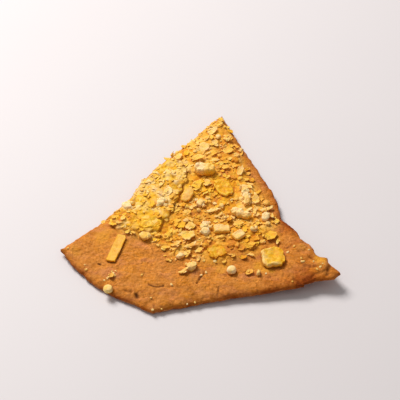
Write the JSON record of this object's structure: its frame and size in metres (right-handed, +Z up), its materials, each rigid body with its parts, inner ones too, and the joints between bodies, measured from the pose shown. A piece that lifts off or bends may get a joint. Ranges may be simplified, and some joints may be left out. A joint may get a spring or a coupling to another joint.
{
  "type": "cheese biscuit",
  "caption": "Thin hand-cut wedge of baked savoury dough with curled tips, topped with grated and crumbled cheese.",
  "frame": {"origin": "on the plane that the biscuit rests on, under the middle of its outline's box", "axes": "+Z up through the thin sheet, +Y towards the apex, +X towards the curled right tip"},
  "size_m": [0.1244, 0.1228, 0.0106],
  "materials": {
    "dough": "baked dough, dry and matte, golden orange-brown with darker edges",
    "yellow_cheese": "melted and dried hard cheese, slightly greasy",
    "pale_cheese": "crumbled dry cheese, cream, matte"
  },
  "bodies": {
    "root": {"biscuit": "dough", "cheese_shred": "yellow_cheese", "cheese_slab": "yellow_cheese", "cheese_stick": "pale_cheese", "cheese_chunk": "pale_cheese", "cheese_block": "pale_cheese", "cheese_tilted_flake": "pale_cheese", "cheese_round_flake": "yellow_cheese", "cheese_wide_flake": "yellow_cheese", "cheese_melted_flake": "yellow_cheese", "cheese_wedge": "pale_cheese"}
  },
  "joints": []
}
